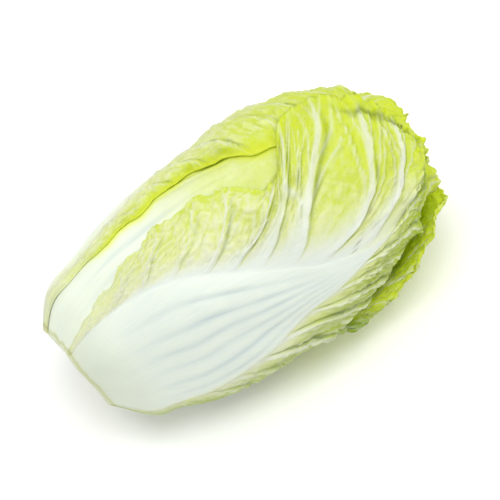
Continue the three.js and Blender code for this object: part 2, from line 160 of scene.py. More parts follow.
class Leaf:
    """One leaf's place in the order of leaves, its outline and how finely it is made."""

    def __init__(self, order, reach, **changes):
        self.order = order
        self.reach = reach
        # The two margins, how their side veins bend, and how far the midrib's tip swings round
        self.upper = self.lower = WIDE_WING
        self.upper_width = self.lower_width = 1.0
        self.upper_bends = self.lower_bends = EVEN_BENDS
        self.bow = 0
        # How far the margins stand off, their teeth and frill, and whether one is rolled over
        self.upper_flare = self.lower_flare = 3.0
        self.jagged = 0.6
        self.lower_frill = 1.0
        self.rolled = 0
        # How closely the margins are tucked down, from how far out and as far as which share
        self.tucked = 0
        self.tuck_from = 0.7
        self.tuck_ends = 0.72
        # How boldly the veins stand out, their branches, the veins off which the one before
        # forks (which vein, and from and to which share of the way out), the midrib's furrows
        self.bold = 0.4
        self.branches = 4
        self.forked = ()
        self.furrows = None
        # Green of the whole blade, of the margin and from how far out, painted shade in green on
        # the lower half, green of the tip and of the tip's upper half
        self.greener = 0
        self.edge_green = 0.5
        self.edge_from = 0.8
        self.lower_shade_green = 0
        self.tip_green = 0.3
        self.hood_green = 0
        # Painted shade in deep green on the upper and the lower half, warmth of the midrib and
        # how much it fades towards the tip, painted shade darkening the base, and specks
        self.painted_shade = self.lower_painted_shade = 0
        self.warm = 1
        self.rib_fades = 0.85
        self.base_shade = 1
        self.specks = ()
        # Rows of the mesh from one side vein to the next, and its columns
        self.rows_per_vein = 15
        self.rib_columns = 15
        self.blade_columns = 26
        self.__dict__.update(changes)

    @property
    def veins(self):
        return len(self.upper) - 1

    @property
    def start(self):
        return self.upper[0][0]

    @property
    def length(self):
        return self.upper[-1][0] * self.reach

    @property
    def turn(self):
        return FIRST_MIDRIB + self.order * DIVERGENCE


FRONT_LEAF = Leaf(
    0, 1.0, upper=FRONT_UPPER_WING, lower=FRONT_LOWER_WING, upper_bends=FRONT_UPPER_BENDS,
    lower_bends=FRONT_LOWER_BENDS, bow=-17, upper_flare=4.0, lower_flare=1.0, jagged=1.0,
    lower_frill=0.4, rolled=1, tucked=1, bold=1.0, branches=6, forked=((8, 0.3, 0.52),),
    furrows=FRONT_RIB_FURROWS, edge_green=0.25, lower_shade_green=0.06, tip_green=0, hood_green=0.22,
    lower_painted_shade=0.8, warm=0, rib_fades=0.0, specks=FRONT_SPECKS, rows_per_vein=28, rib_columns=26,
    blade_columns=44)
SECOND_LEAF = Leaf(
    1, 0.985, lower=SECOND_LOWER_WING, upper_flare=9.0, lower_flare=1.0, tucked=1, tuck_from=0.8,
    tuck_ends=1, bold=0.5, greener=0.04, edge_green=0.55, edge_from=0.76, base_shade=0.3,
    rows_per_vein=20, rib_columns=18, blade_columns=34)
UNDER_LEAF = Leaf(
    2, 1.01, upper=UNDER_UPPER_WING, upper_flare=9.0, lower_flare=6.0, greener=0.32, painted_shade=1.0,
    rows_per_vein=18, rib_columns=18, blade_columns=30)
BAND_LEAF = Leaf(
    3, 1.045, upper_width=0.9, lower_width=0.95, upper_flare=4.0, greener=0.24, warm=0.6,
    base_shade=0.3, rows_per_vein=18, rib_columns=18, blade_columns=30)
OUTER_LEAVES = [
    FRONT_LEAF,
    SECOND_LEAF,
    UNDER_LEAF,
    BAND_LEAF,
    Leaf(4, 1.03, rows_per_vein=18, rib_columns=18, blade_columns=30),
    Leaf(5, 1.05, upper_width=0.92, lower_width=0.92),
    Leaf(6, 1.075, upper_width=0.9, lower_width=0.9),
    Leaf(7, 1.09, upper_width=0.9, lower_width=0.9),
]
HEART_LEAVES = [
    Leaf(order, reach, upper=HEART_WING, lower=HEART_WING, rib_columns=8, blade_columns=20)
    for order, reach in ((8, 1.07), (9, 1.08), (10, 1.09), (11, 1.1), (12, 1.11))
]
LEAVES = OUTER_LEAVES + HEART_LEAVES


# ---------------------------------------------------------------- small helpers

def lerp(a, b, share):
    return a + (b - a) * share


def smoothstep(x, low, high):
    s = np.clip((x - low) / (high - low), 0, 1)
    return s * s * (3 - 2 * s)


def through(points, share):
    """The place at each share of a smooth curve through the points."""
    points = np.asarray(points, float)
    last = len(points) - 1
    at = np.clip(share, 0, 1) * last
    k = np.minimum(at.astype(int), last - 1)
    w = (at - k)[..., None]
    p0, p1 = points[np.maximum(k - 1, 0)], points[k]
    p2, p3 = points[k + 1], points[np.minimum(k + 2, last)]
    v0, v1 = (p2 - p0) / 2, (p3 - p1) / 2
    return ((2 * p1 - 2 * p2 + v0 + v1) * w ** 3 + (3 * p2 - 3 * p1 - 2 * v0 - v1) * w ** 2
            + v0 * w + p1)


NOISE_SIZE = 64


def wrinkle(x, y, seed):
    """Smooth noise from -1 to 1 over a plane, with one swell to each unit."""
    table = np.random.default_rng(seed).uniform(-1, 1, (NOISE_SIZE, NOISE_SIZE))
    i, j = np.floor(x).astype(int), np.floor(y).astype(int)
    fx, fy = x - i, y - j
    fx, fy = fx * fx * (3 - 2 * fx), fy * fy * (3 - 2 * fy)

    def pick(a, b):
        return table[a % NOISE_SIZE, b % NOISE_SIZE]

    return lerp(lerp(pick(i, j), pick(i + 1, j), fx), lerp(pick(i, j + 1), pick(i + 1, j + 1), fx),
                fy)


def cells(x, y, seed):
    """How far each place is from the borders of a mosaic of cells about one unit wide."""
    rng = np.random.default_rng(seed)
    jitter = rng.uniform(0.1, 0.9, (2, NOISE_SIZE, NOISE_SIZE))
    i, j = np.floor(x).astype(int), np.floor(y).astype(int)
    near = np.full(np.shape(x), 9.0)
    second = near.copy()
    for di in (-1, 0, 1):
        for dj in (-1, 0, 1):
            a, b = (i + di) % NOISE_SIZE, (j + dj) % NOISE_SIZE
            far = np.hypot(i + di + jitter[0, a, b] - x, j + dj + jitter[1, a, b] - y)
            second = np.minimum(second, np.maximum(near, far))
            near = np.minimum(near, far)
    return second - near


# ---------------------------------------------------------------- the head's own coordinates

OUTLINE_STEPS = 4000
_curve = through(HEART_OUTLINE, np.linspace(0, 1, OUTLINE_STEPS))
_along = np.concatenate([[0], np.cumsum(np.hypot(*np.diff(_curve, axis=0).T))])
_lean = np.arctan2(-np.gradient(_curve[:, 1]), np.gradient(_curve[:, 0]))
_lean = np.where(_lean > 0, _lean, 0.3 * _lean)
HEAD_REACH = _along[-1]


def base_squeeze(t):
    """Heights are squeezed near the cut end, where the leaf bases run into the stem."""
    return lerp(0.45, 1, smoothstep(t, 0, 36))


def on_head(t, turn, height):
    """A place by distance along the heart's outline, turn round the axis and height over it."""
    lean = np.interp(t, _along, _lean)
    h = height * base_squeeze(t)
    x = np.interp(t, _along, _curve[:, 0]) + h * np.sin(lean)
    r = np.maximum(np.interp(t, _along, _curve[:, 1]) + h * np.cos(lean), 0)
    turn = np.radians(turn)
    return lying_down(np.stack([x, -r * np.cos(turn), r * np.sin(turn)], axis=-1))


def lying_down(points):
    """Slants the cut end and turns points to where the head lies, pressed flat underneath."""
    tilt, high = math.radians(HEAD_TILT), math.radians(CUT_HIGH_TURN)
    x, y, z = np.moveaxis(points, -1, 0)
    slant = CUT_SLANT * (1 - smoothstep(x, CUT_END, CUT_END + CUT_FADE))
    x = x + slant * (y * math.cos(high) - z * math.sin(high))
    x, z = x * math.cos(tilt) - z * math.sin(tilt), x * math.sin(tilt) + z * math.cos(tilt)
    z = z + AXIS_HEIGHT
    depth = (SOFT_FROM - z) / PRESSED
    entry = PRESSED / SQUEEZED
    pressed = SOFT_FROM - SQUEEZED * (entry * depth - (entry - 1) * depth * depth)
    z = np.where(z < SOFT_FROM, pressed, z)
    return np.stack([x + MIDDLE[0], y + MIDDLE[1], z], axis=-1)


# ---------------------------------------------------------------- lay-up map

# A map of the head, with a row to each MAP_T millimetres along it and a column to each MAP_TURN
# degrees round it, and how many cells away a drape, a tucked margin and a cover are felt
MAP_T = 1.25
MAP_TURN = 1
MAP_ROWS = math.ceil(HEAD_REACH / MAP_T) + 2
MAP_COLUMNS = 360 // MAP_TURN
DRAPE_CELLS = round(DRAPE / MAP_T)
TIGHT_CELLS = 1
COVER_CELLS = 2


def map_corners(t, turn):
    """The four map cells round each place, with each cell's share."""
    row = np.clip(t / MAP_T, 0, MAP_ROWS - 1.001)
    column = turn / MAP_TURN
    r, c = np.floor(row).astype(int), np.floor(column).astype(int)
    fr, fc = row - r, column - c
    for dr, share_r in ((0, 1 - fr), (1, fr)):
        for dc, share_c in ((0, 1 - fc), (1, fc)):
            yield (r + dr, (c + dc) % MAP_COLUMNS), share_r * share_c


def read_map(values, t, turn):
    """The map's value at each place, evened out between cells."""
    return sum(values[cell] * share for cell, share in map_corners(t, turn))


def raise_map(values, t, turn, height):
    """Raises the cells round each place to at least its height."""
    for cell, _ in map_corners(t, turn):
        np.maximum.at(values, cell, height)


def sweep_map(values, reach, join):
    """Each cell becomes what join makes of the cells within reach of it."""
    rows = np.arange(MAP_ROWS)
    steps = range(-reach, reach + 1)
    half = join([values[np.clip(rows + s, 0, MAP_ROWS - 1)] for s in steps], axis=0)
    return join([np.roll(half, s, axis=1) for s in steps], axis=0)


# ---------------------------------------------------------------- one leaf

# The share of a leaf's length along which side veins leave the midrib
VEINS_LEAVE = 0.9
# Distance from one side vein to the next, in millimetres
VEIN_SPACING = 24
# In shares of that spacing: where a pleat starts, how far a branch's crease is from it, how much
# the mesh's rows are gathered beside a vein, and where
PLEAT_START = 0.14
CREASE_OFF = 0.055
GATHER = 0.5
GATHERED_AT = 0.09


def leaf_place(leaf, vein, across):
    """A place on a leaf: vein counts side veins from the base, and across runs from -2 at the
    lower margin through 0 on the midrib to 2 at the upper one, with the midrib within 1."""
    side = np.where(across < 0, -1, 1)
    share = vein / leaf.veins

    def by_side(lower, upper):
        return np.where((across < 0)[..., None], through(lower, share), through(upper, share))

    wing_t, wing_turn = np.moveaxis(by_side(leaf.lower, leaf.upper), -1, 0)
    bend_along, bend_round, early = np.moveaxis(
        by_side(leaf.lower_bends, leaf.upper_bends), -1, 0)
    wing_turn = wing_turn * side * np.where(across < 0, leaf.lower_width, leaf.upper_width)
    wing_end = np.where(across < 0, leaf.lower[-1][0], leaf.upper[-1][0])
    span = leaf.length - leaf.start
    in_rib = np.minimum(np.abs(across), 1)
    leaves = leaf.start + VEINS_LEAVE * span * share + early * in_rib ** 2
    bow = leaf.bow * smoothstep(leaves, 40, 290)
    rib = side * np.maximum(through(RIB_WIDTHS, leaves / leaf.length)[..., 0], 0) * (1 - share ** 8)
    out = np.maximum(np.abs(across) - 1, 0)
    margin_t = leaf.start + (wing_t - leaf.start) * span / (wing_end - leaf.start)
    bend_t = lerp(leaves, margin_t, bend_along)
    bend_turn = lerp(bow + rib, wing_turn, bend_round)
    lobe = LOBE * np.cos(2 * np.pi * vein) * out ** 3 * (1 - share ** 6)
    seed = 40 + leaf.order
    tooth = out ** 6 * (1 - share ** 8) * leaf.jagged * np.where(side > 0, 1, 0.4) * (
        3.0 * wrinkle(vein * 2.3 + 5, side * 3 + 0.5, seed)
        + 1.7 * wrinkle(vein * 6.7, side * 5 + 0.5, seed + 20)
        + 1.1 * wrinkle(vein * 15.3, side * 7 + 0.5, seed + 30))
    t = (1 - out) ** 2 * leaves + 2 * out * (1 - out) * bend_t + out ** 2 * margin_t
    t = t + tooth * smoothstep(share, 0.6, 0.9)
    turn = ((1 - out) ** 2 * (bow + rib) + 2 * out * (1 - out) * bend_turn
            + out ** 2 * wing_turn + side * (lobe + tooth))
    turn = np.where(out > 0, turn, bow + rib * in_rib)
    return {"t": t, "turn": leaf.turn + turn, "share": share, "in_rib": in_rib, "out": out,
            "side": side, "row": vein}


def branch_veins(leaf, vein, out, side):
    """Strength from 0 to 1 of the veins that branch off the side veins."""
    found = np.zeros_like(vein)
    rng = np.random.default_rng(200 + leaf.order)
    for k in range(1, leaf.veins):
        for branch in range(leaf.branches):
            for half in (-1, 1):
                leaves_at = 0.1 + 0.84 * branch / leaf.branches + rng.uniform(-0.06, 0.06)
                slope = rng.uniform(0.75, 1.15) * (1 if (branch + k) % 2 else -1)
                reach = out - leaves_at
                line = k + slope * reach * (1 - 0.25 * reach)
                far = np.abs(vein - line) * VEIN_SPACING
                width = lerp(1.5, 0.7, np.clip(reach, 0, 1))
                here = (1 - smoothstep(far, 0, width)) * smoothstep(reach, 0, 0.03)
                here = here * (side * half > 0) * (np.abs(line - k) < 0.62)
                found = np.maximum(found, here)
    return found


def lit_margin(leaf, place):
    """Strength of the yellow light along the second leaf's lower margin, on it and under it."""
    t = place["t"]
    along = smoothstep(t, *LIT_FROM) * (1 - smoothstep(t, *LIT_TO))
    if leaf is SECOND_LEAF:
        return along * smoothstep(place["out"], 0.86, 0.96) * (place["side"] < 0)
    if leaf is not BAND_LEAF:
        return np.zeros_like(t)
    margin = leaf_place(SECOND_LEAF, np.linspace(0, SECOND_LEAF.veins, 600), np.full(600, -2.0))
    at = np.interp(t, np.maximum.accumulate(margin["t"]), margin["turn"])
    aside = (place["turn"] - at + 540) % 360 - 180
    return along * np.exp(-(aside / LIT_WIDTH) ** 2)


class Spots:
    """Places on one leaf, the side vein nearest to each, and how strong the relief is there."""

    def __init__(self, leaf, place):
        self.leaf = leaf
        self.seed = 300 + leaf.order
        self.t, self.turn, self.share = place["t"], place["turn"], place["share"]
        self.side, self.in_rib, self.out = place["side"], place["in_rib"], place["out"]
        self.upper, self.lower = self.side > 0, self.side < 0
        row = place["row"]
        strand = np.round(row) * 3.7 + 7 * self.side
        wander = (0.15 * wrinkle(self.out * 2.5 + 3 * self.side, strand, self.seed)
                  + 0.04 * wrinkle(self.out * 8.5 + 3 * self.side, strand, self.seed + 1))
        wander = wander * smoothstep(self.out, 0.0, 0.3) * smoothstep(1 - self.out, 0, 0.2)
        self.vein = row + wander
        self.nearest = np.round(self.vein)
        self.past = self.vein - self.nearest
        self.strength = 0.75 + 0.35 * wrinkle(self.nearest * 1.37 + 0.5, self.side * 4.1,
                                              self.seed + 5)
        self.bold = leaf.bold * np.where(self.upper, smoothstep(self.share, 0.4, 0.66),
                                         0.9 * smoothstep(self.share, 0.2, 0.42))
        self.ease = smoothstep(self.out, 0.02, 0.3) * smoothstep(self.share, 0.03, 0.25)

    def noise(self, x, y, kind):
        return wrinkle(x, y, self.seed + kind)


def pleats(spots, size):
    """Each pleat rises slowly to its vein and drops into a furrow on the vein's tip side. Gives
    the pleats' height, the nearness of their crests and how strongly shade is painted into
    the furrows."""
    out, upper, bold = spots.out, spots.upper, spots.bold
    rise = (spots.past - PLEAT_START) % 1
    crest = (smoothstep(rise, 0, 0.16) * (0.3 + 0.7 * smoothstep(rise, 0.1, 0.84))
             * (1 - smoothstep(rise, 0.91, 1)))
    pleat = (size / MM * spots.ease * crest * (0.4 + np.where(upper, 1, 0.35) * bold)
             * spots.strength)
    pleat = pleat * (1 - np.where(upper, 0.4, 0.6) * smoothstep(out, 0.6, 1))
    furrow = np.exp(-(np.minimum(rise, 1 - rise) / lerp(0.04, 0.06, out)) ** 2)
    furrow = furrow * smoothstep(out, 0.0, 0.12)
    furrow = furrow * (1 - smoothstep(out, np.where(upper, 0.5, 0.8), 1))
    furrow = furrow * smoothstep(spots.share, 0.12, 0.35) * (0.5 + 0.5 * bold) * spots.strength
    furrow = furrow * (0.8 + 0.5 * spots.noise(out * 9, spots.nearest * 2.1 + 5 * spots.side, 80))
    return pleat, crest, furrow


def blisters(spots, size):
    """Small swellings between the veins: their height, how full they are, and the distance from
    their borders, where the net of the finest veins runs."""
    vein, out, side = spots.vein, spots.out, spots.side
    along = vein * 2.6 + 0.6 * spots.noise(vein * 3.1, out * 7 + 4 * side, 9)
    aside = out * 6.0 + 3 * side + 0.6 * spots.noise(vein * 3.3 + 9, out * 7, 11)
    border = cells(along, aside, spots.seed + 20)
    fine_border = cells(along * 2.4, aside * 2.2, spots.seed + 40)
    full = 0.65 * smoothstep(border, 0.0, 0.6) + 0.35 * smoothstep(fine_border, 0, 0.5)
    lump = 0.5 + 0.5 * spots.noise(vein * 1.9, out * 3.5 + 3 * side, 13)
    height = spots.ease * full * (0.5 + lump) * size / MM * (1 + 0.5 * spots.bold)
    return height, full, border


def margin_frill(spots, size):
    """Short waves along a margin, higher towards the tip."""
    vein, share, side = spots.vein, spots.share, spots.side
    phase = 3.1 * vein + 0.8 * spots.noise(vein * 1.3, side * 2, 0)
    frill = 0.5 + 0.5 * np.sin(2 * np.pi * phase)
    frill = size / MM * frill * smoothstep(spots.out, 0.76, 1) * smoothstep(share, 0.3, 0.75)
    frill = frill * np.where(spots.upper, 1, spots.leaf.lower_frill)
    frill = frill * (0.6 + 0.4 * spots.noise(vein * 1.7, side * 3 + 0.5, 60))
    return frill * (1 + 0.8 * smoothstep(share, 0.65, 0.85))


def margin_flare(spots):
    """How far a margin stands off the head."""
    leaf, out, share = spots.leaf, spots.out, spots.share
    flare = lerp(leaf.lower_flare, leaf.upper_flare, 0.5 + 0.5 * spots.side * smoothstep(out, 0, 0.3))
    flare = flare * smoothstep(out, 0.35, 1)
    flare = flare * smoothstep(share, 0.3, 0.5)
    return flare * (1 - 0.8 * smoothstep(share, 0.78, 0.97))


def loose_margin(spots, size):
    """Everything that lifts a margin that no other leaf holds down: its height, how far each
    place is on the rolled-over margin, and the painted shade along the crease that the roll
    starts from."""
    leaf, vein, out, share = spots.leaf, spots.vein, spots.out, spots.share
    side = spots.side
    edge = smoothstep(out, 0.55, 1) * smoothstep(share, 0.1, 0.6)
    swell = 0.75 + 0.25 * np.sin(2.3 * vein + 1.9 * leaf.order + side)
    wave = 0.5 + 0.5 * np.cos(2 * np.pi * vein + 0.4 * np.sin(leaf.order + vein))
    curl = CURL * np.exp(-((out - 0.9 - 0.03 * spots.noise(vein * 4, side, 61)) / 0.05) ** 2)
    curl = curl * smoothstep(share, 0.55, 0.75) * (0.7 + 0.5 * spots.noise(vein * 3.3, side, 62))
    roll = (leaf.rolled * spots.upper * smoothstep(share, 0.75, 0.82)
            * (1 - smoothstep(share, 0.95, 1)))
    roll_at = 0.89 + 0.035 * spots.noise(vein * 3.4, side, 63)
    on_roll = roll * smoothstep(out, roll_at, roll_at + 0.04)
    curl = curl * np.where(spots.upper, 1, leaf.lower_frill) + ROLL * on_roll
    crease = roll * np.exp(-((out - roll_at) / 0.016) ** 2)
    height = (0.5 * RUFFLE * swell * wave * edge + margin_flare(spots) + margin_frill(spots, size)
              + curl)
    return height, on_roll, crease


def vein_lines(spots, border):
    """Strength from 0 to 1 of the side veins, their branches, the net between them and the
    creases beside the branches."""
    leaf, vein, out, side, bold = spots.leaf, spots.vein, spots.out, spots.side, spots.bold
    width = lerp(1.4 + 4.6 * bold, 0.7 + 2.0 * bold, out ** 0.7) * (0.6 + 0.5 * spots.strength)
    width = width + (1.5 + 2.5 * bold) * (1 - smoothstep(out, 0, 0.12))
    width = (np.where(spots.upper, 1, 0.65) * width
             * (1 + 0.3 * spots.noise(out * 7, spots.nearest * 2.3 + 3 * side, 90)))
    far = np.abs(spots.past + 0.03 * bold) * VEIN_SPACING
    main = 1 - smoothstep(far, 0.25 * width, width)
    main = main * ((spots.nearest > 0) & (spots.nearest < leaf.veins))
    for forked, low, high in leaf.forked:
        parent = (spots.nearest == forked - 1) & spots.upper
        main = np.where(parent, main * lerp(0.35, 1, smoothstep(out, high - 0.1, high)), main)
        far = np.abs(vein - (forked - smoothstep(out, low, high))) * VEIN_SPACING
        fork = (1 - smoothstep(far, 0.3 * width, width)) * (out > low) * (out < high)
        main = np.maximum(main, fork * spots.upper)
    branches = branch_veins(leaf, vein, out, side) * smoothstep(out, 0.02, 0.1)
    net = (1 - smoothstep(border, 0, 0.12)) * spots.ease
    creases = branch_veins(leaf, vein - CREASE_OFF, out, side) * smoothstep(out, 0.02, 0.1)
    creases = creases * (1 - branches) * (1 - main) * (1 - smoothstep(out, 0.85, 1)) * spots.upper
    creases = creases * np.clip(0.3 + 1.2 * spots.noise(vein * 2.1, out * 5 + 3 * side, 95), 0, 1)
    return main, branches, net, creases


def rib_furrows(spots):
    """Depth from 0 to 1 of the furrows along the midrib."""
    share, in_rib, side = spots.share, spots.in_rib, spots.side
    at = in_rib * side + 0.04 * spots.noise(share * 9 + 2, in_rib * side * 1.5 + 9, 0)
    scatter = np.random.default_rng(spots.seed).uniform(-0.08, 0.08, len(RIB_FURROWS))
    lines = spots.leaf.furrows or scatter + RIB_FURROWS
    width = 0.03 + 0.035 * share
    groove = sum(np.exp(-np.abs((at - line) / width) ** 1.6)
                 * (0.75 + 0.25 * math.sin(9 * line) + 0.3 * spots.noise(share * 12, line * 7, 0))
                 for line in lines)
    groove = np.clip(groove, 0, 1) * smoothstep(share, 0.06, 0.4) * (spots.out <= 0)
    return groove * (1 - 0.9 * smoothstep(share, 0.55, 0.8)) * (1 - in_rib ** 6)


# ---------------------------------------------------------------- marks for the leaf material

MARKS = ("green", "vein", "furrow", "groove", "rib", "base", "dry", "painted_shade", "warm", "speck",
         "glow")


def green_mark(spots, full, net, on_roll):
    """From 0 where the blade is palest to 1 where it is greenest."""
    leaf, out, share = spots.leaf, spots.out, spots.share
    edge = smoothstep(out, leaf.edge_from, leaf.edge_from + 0.2) * smoothstep(share, 0.05, 0.4)
    hood = spots.upper * smoothstep(share, 0.5, 0.7) * smoothstep(out, 0.3, 0.8)
    green = (0.06 + 0.34 * smoothstep(out, 0.05, 0.8) + 0.3 * smoothstep(share, 0.35, 0.8)
             # Painted shade: the lower half greener, as it lies in shade
             + leaf.edge_green * edge + leaf.lower_shade_green * spots.lower * smoothstep(out, 0, 0.2)
             + 0.6 * on_roll + leaf.hood_green * hood + leaf.greener
             + leaf.tip_green * smoothstep(share, 0.72, 0.9)
             + 0.34 * (0.5 - full) * spots.ease + 0.1 * net * spots.ease)
    return np.clip(green * lerp(0.35, 1, smoothstep(share, 0.02, 0.25)), 0, 1)


def painted_shade_mark(spots):
    """Painted shade: a deeper green where a blade turns under the head's side, and on the lower half.
    """
    leaf, out, share = spots.leaf, spots.out, spots.share
    upper = leaf.painted_shade * spots.upper * smoothstep(out, 0.05, 0.3) * smoothstep(share, 0.35, 0.5)
    upper = upper * (1 - smoothstep(share, 0.54, 0.65))
    # Painted shade on the lower half, which faces down
    lower = lerp(0.75, 0.42, share) * smoothstep(out, 0.05, 0.5) + 0.5 * smoothstep(out, 0.72, 1)
    return upper + leaf.lower_painted_shade * spots.lower * lower


def vein_mark(spots, main, branches, net, on_roll):
    """The cream of the veins, fainter at the margin and on the lower half."""
    out, bold = spots.out, spots.bold
    lines = np.maximum((0.5 + 0.3 * bold) * branches, (0.05 + 0.35 * bold) * net)
    mark = np.clip(np.maximum(main, lines) * (0.5 + 0.6 * spots.strength), 0, 1)
    mark = mark * smoothstep(out, 0, 0.08) * (1 - 0.6 * smoothstep(out, spots.leaf.edge_from, 1))
    return mark * (1 - 0.7 * on_roll) * np.where(spots.upper, 1, 0.8)


def rib_mark(spots, crest):
    """From 1 on the white midrib to 0 on the blade, drawn out along the pleats' crests."""
    out, share, side = spots.out, spots.share, spots.side
    reach = 0.12 + (0.25 + 0.3 * spots.bold) * crest * smoothstep(share, 0.1, 0.6)
    reach = reach * np.where(spots.upper, 1, 0.45)
    reach = reach + 0.06 * spots.noise(spots.vein * 5, side * 3 + out, 70)
    rib = 1 - np.where(spots.upper, smoothstep(out, 0, reach),
                       smoothstep(spots.in_rib + out, 0.84, 1 + reach))
    return (np.clip(rib, 0, 1) * (1 - spots.leaf.rib_fades * smoothstep(share, 0.3, 0.62))
            * (1 - 0.7 * smoothstep(share, 0.85, 1)))


def cut_marks(spots):
    """How much painted shade darkens the leaf's base, and how dried its cut end."""
    base = (spots.leaf.base_shade * (1 - smoothstep(spots.share, 0, 0.24))
            * (1 - 0.9 * smoothstep(spots.out, 0, 0.1)))
    from_cut = spots.t + 1.5 * spots.noise(spots.t * 0.05, spots.turn * 0.15, 0)
    line = np.exp(-((from_cut - 3.6) / 1.3) ** 2)
    return base, np.clip(0.3 * (1 - smoothstep(from_cut, 0, 9)) + line, 0, 1)


def speck_mark(spots):
    """Small dark specks on the midrib."""
    found = np.zeros_like(spots.out)
    for t, turn in spots.leaf.specks:
        far = np.hypot(spots.t - t, spots.turn - spots.leaf.turn - turn)
        found = found + np.exp(-(far / SPECK_SIZE) ** 2)
    return found


def relief(leaf, place, cover, sizes):
    """The sheet's own height, the raised veins on its outer face, and the marks that the
    material reads."""
    spots = Spots(leaf, place)
    out, bold = spots.out, spots.bold
    pleat, crest, furrow = pleats(spots, sizes.pleat)
    blister, full, border = blisters(spots, sizes.blister)
    margin, on_roll, crease = loose_margin(spots, sizes.frill)
    sheet = pleat * (1 - 0.7 * cover) + blister * (1 - 0.65 * cover) + margin * (1 - cover)

    main, branches, net, creases = vein_lines(spots, border)
    height = lerp(1.0 + 0.6 * bold, 0.45, out) * smoothstep(out, 0, 0.16) * spots.strength
    raised = sizes.vein / MM * (
        main * height + (0.45 + 0.45 * bold) * branches * (1 - main) * spots.ease
        + 0.15 * net * (1 - main) - 0.5 * creases * bold)
    groove = rib_furrows(spots)
    raised = raised - sizes.furrow / MM * groove

    # Painted shade: dark green in the pleats' furrows, along the roll's crease and in the creases
    # beside the branches
    furrow = np.maximum(np.maximum(furrow, 0.85 * crease), 0.5 * bold * creases)
    base, dry = cut_marks(spots)
    marks = {
        "green": green_mark(spots, full, net, on_roll),
        "vein": vein_mark(spots, main, branches, net, on_roll),
        "furrow": np.clip(furrow, 0, 1),
        "groove": groove,
        "rib": rib_mark(spots, crest),
        "base": base,
        "dry": dry,
        "painted_shade": painted_shade_mark(spots),
        "warm": np.full_like(out, leaf.warm),
        "speck": speck_mark(spots),
        "glow": lit_margin(leaf, place),
    }
    return sheet, raised * (1 - 0.5 * cover), marks


def leaf_heights(leaf, vein, across, under, tight, cover, sizes):
    """Inner and outer heights over the heart, and the material's marks."""
    place = leaf_place(leaf, vein, across)
    t, turn, in_rib, out = (place[key] for key in ("t", "turn", "in_rib", "out"))
    sheet, raised, marks = relief(leaf, place, read_map(cover, t, turn), sizes)
    share = t / leaf.length
    body = STALK * (1 - smoothstep(share, 0.1, 0.85)) * (1 - in_rib ** 2) ** 0.8
    blade = lerp(sizes.blade / MM, MARGIN, smoothstep(out, 0.6, 1)) + RIB_EXTRA * (in_rib < 1)
    turn_down = np.abs((turn + 90 + 540) % 360 - 180)
    pad = 0
    if leaf is UNDER_LEAF:
        pad = (REST_PAD * (1 - smoothstep(turn_down, 18, 34))
               * (1 - smoothstep(np.abs(t - REST_PLACE), 60, 90)))
    tucked = leaf.tucked * smoothstep(out, leaf.tuck_from, 0.97)
    tucked = tucked * (1 - smoothstep(place["share"], leaf.tuck_ends, leaf.tuck_ends + 0.13))
    below = lerp(read_map(under, t, turn), read_map(tight, t, turn), tucked)
    squeeze = base_squeeze(t)
    inner = below + sizes.gap / MM * (1 - 0.9 * tucked) / squeeze + sheet * (1 - 0.8 * tucked)
    outer = inner + blade / squeeze + body + raised + pad
    return {**place, **marks, "inner": inner, "outer": outer}


def gathered(vein):
    """Even rows drawn closer together beside each side vein, where the furrows are."""
    phase = 2 * np.pi * (vein - GATHERED_AT)
    return vein - GATHER * (np.sin(phase) + math.sin(2 * np.pi * GATHERED_AT)) / (2 * np.pi)


def lay_up(sizes):
    """All leaves' height grids, laid from the innermost outwards."""
    # How far each leaf is covered by the leaves outside it
    covered = np.zeros((MAP_ROWS, MAP_COLUMNS))
    covers = {}
    for leaf in LEAVES:
        covers[leaf.order] = sweep_map(covered, COVER_CELLS, np.mean)
        vein, across = np.meshgrid(np.arange(0, leaf.veins + 0.01, 1 / 20),
                                   np.linspace(-2, 2, 161), indexing="ij")
        place = leaf_place(leaf, vein, across)
        raise_map(covered, place["t"], place["turn"], 1)

    # The leaves, each draped over those inside it
    height = np.zeros((MAP_ROWS, MAP_COLUMNS))
    grids = {}
    for leaf in reversed(LEAVES):
        under = sweep_map(sweep_map(height, DRAPE_CELLS, np.max), DRAPE_CELLS, np.mean)
        rows = gathered(np.linspace(0, leaf.veins, leaf.rows_per_vein * leaf.veins + 1))
        rib = np.linspace(0, 1, leaf.rib_columns + 1)
        blade = np.linspace(1, 2, leaf.blade_columns + 1)
        half = np.concatenate([rib, blade[1:]])
        columns = np.concatenate([-half[:0:-1], half])
        vein, across = np.meshgrid(rows, columns, indexing="ij")
        across[-1] = np.abs(across[-1])
        tight = sweep_map(sweep_map(height, TIGHT_CELLS, np.max), TIGHT_CELLS, np.mean)
        tight = np.minimum(under, tight)
        grid = leaf_heights(leaf, vein, across, under, tight, covers[leaf.order], sizes)
        raise_map(height, grid["t"], grid["turn"], grid["outer"])
        grids[leaf.order] = grid
    return grids


# ---------------------------------------------------------------- meshes

# The leaf's UV map: units to a millimetre along the head and to a degree round it
UV_ALONG = 10 * MM
UV_ROUND = 0.013


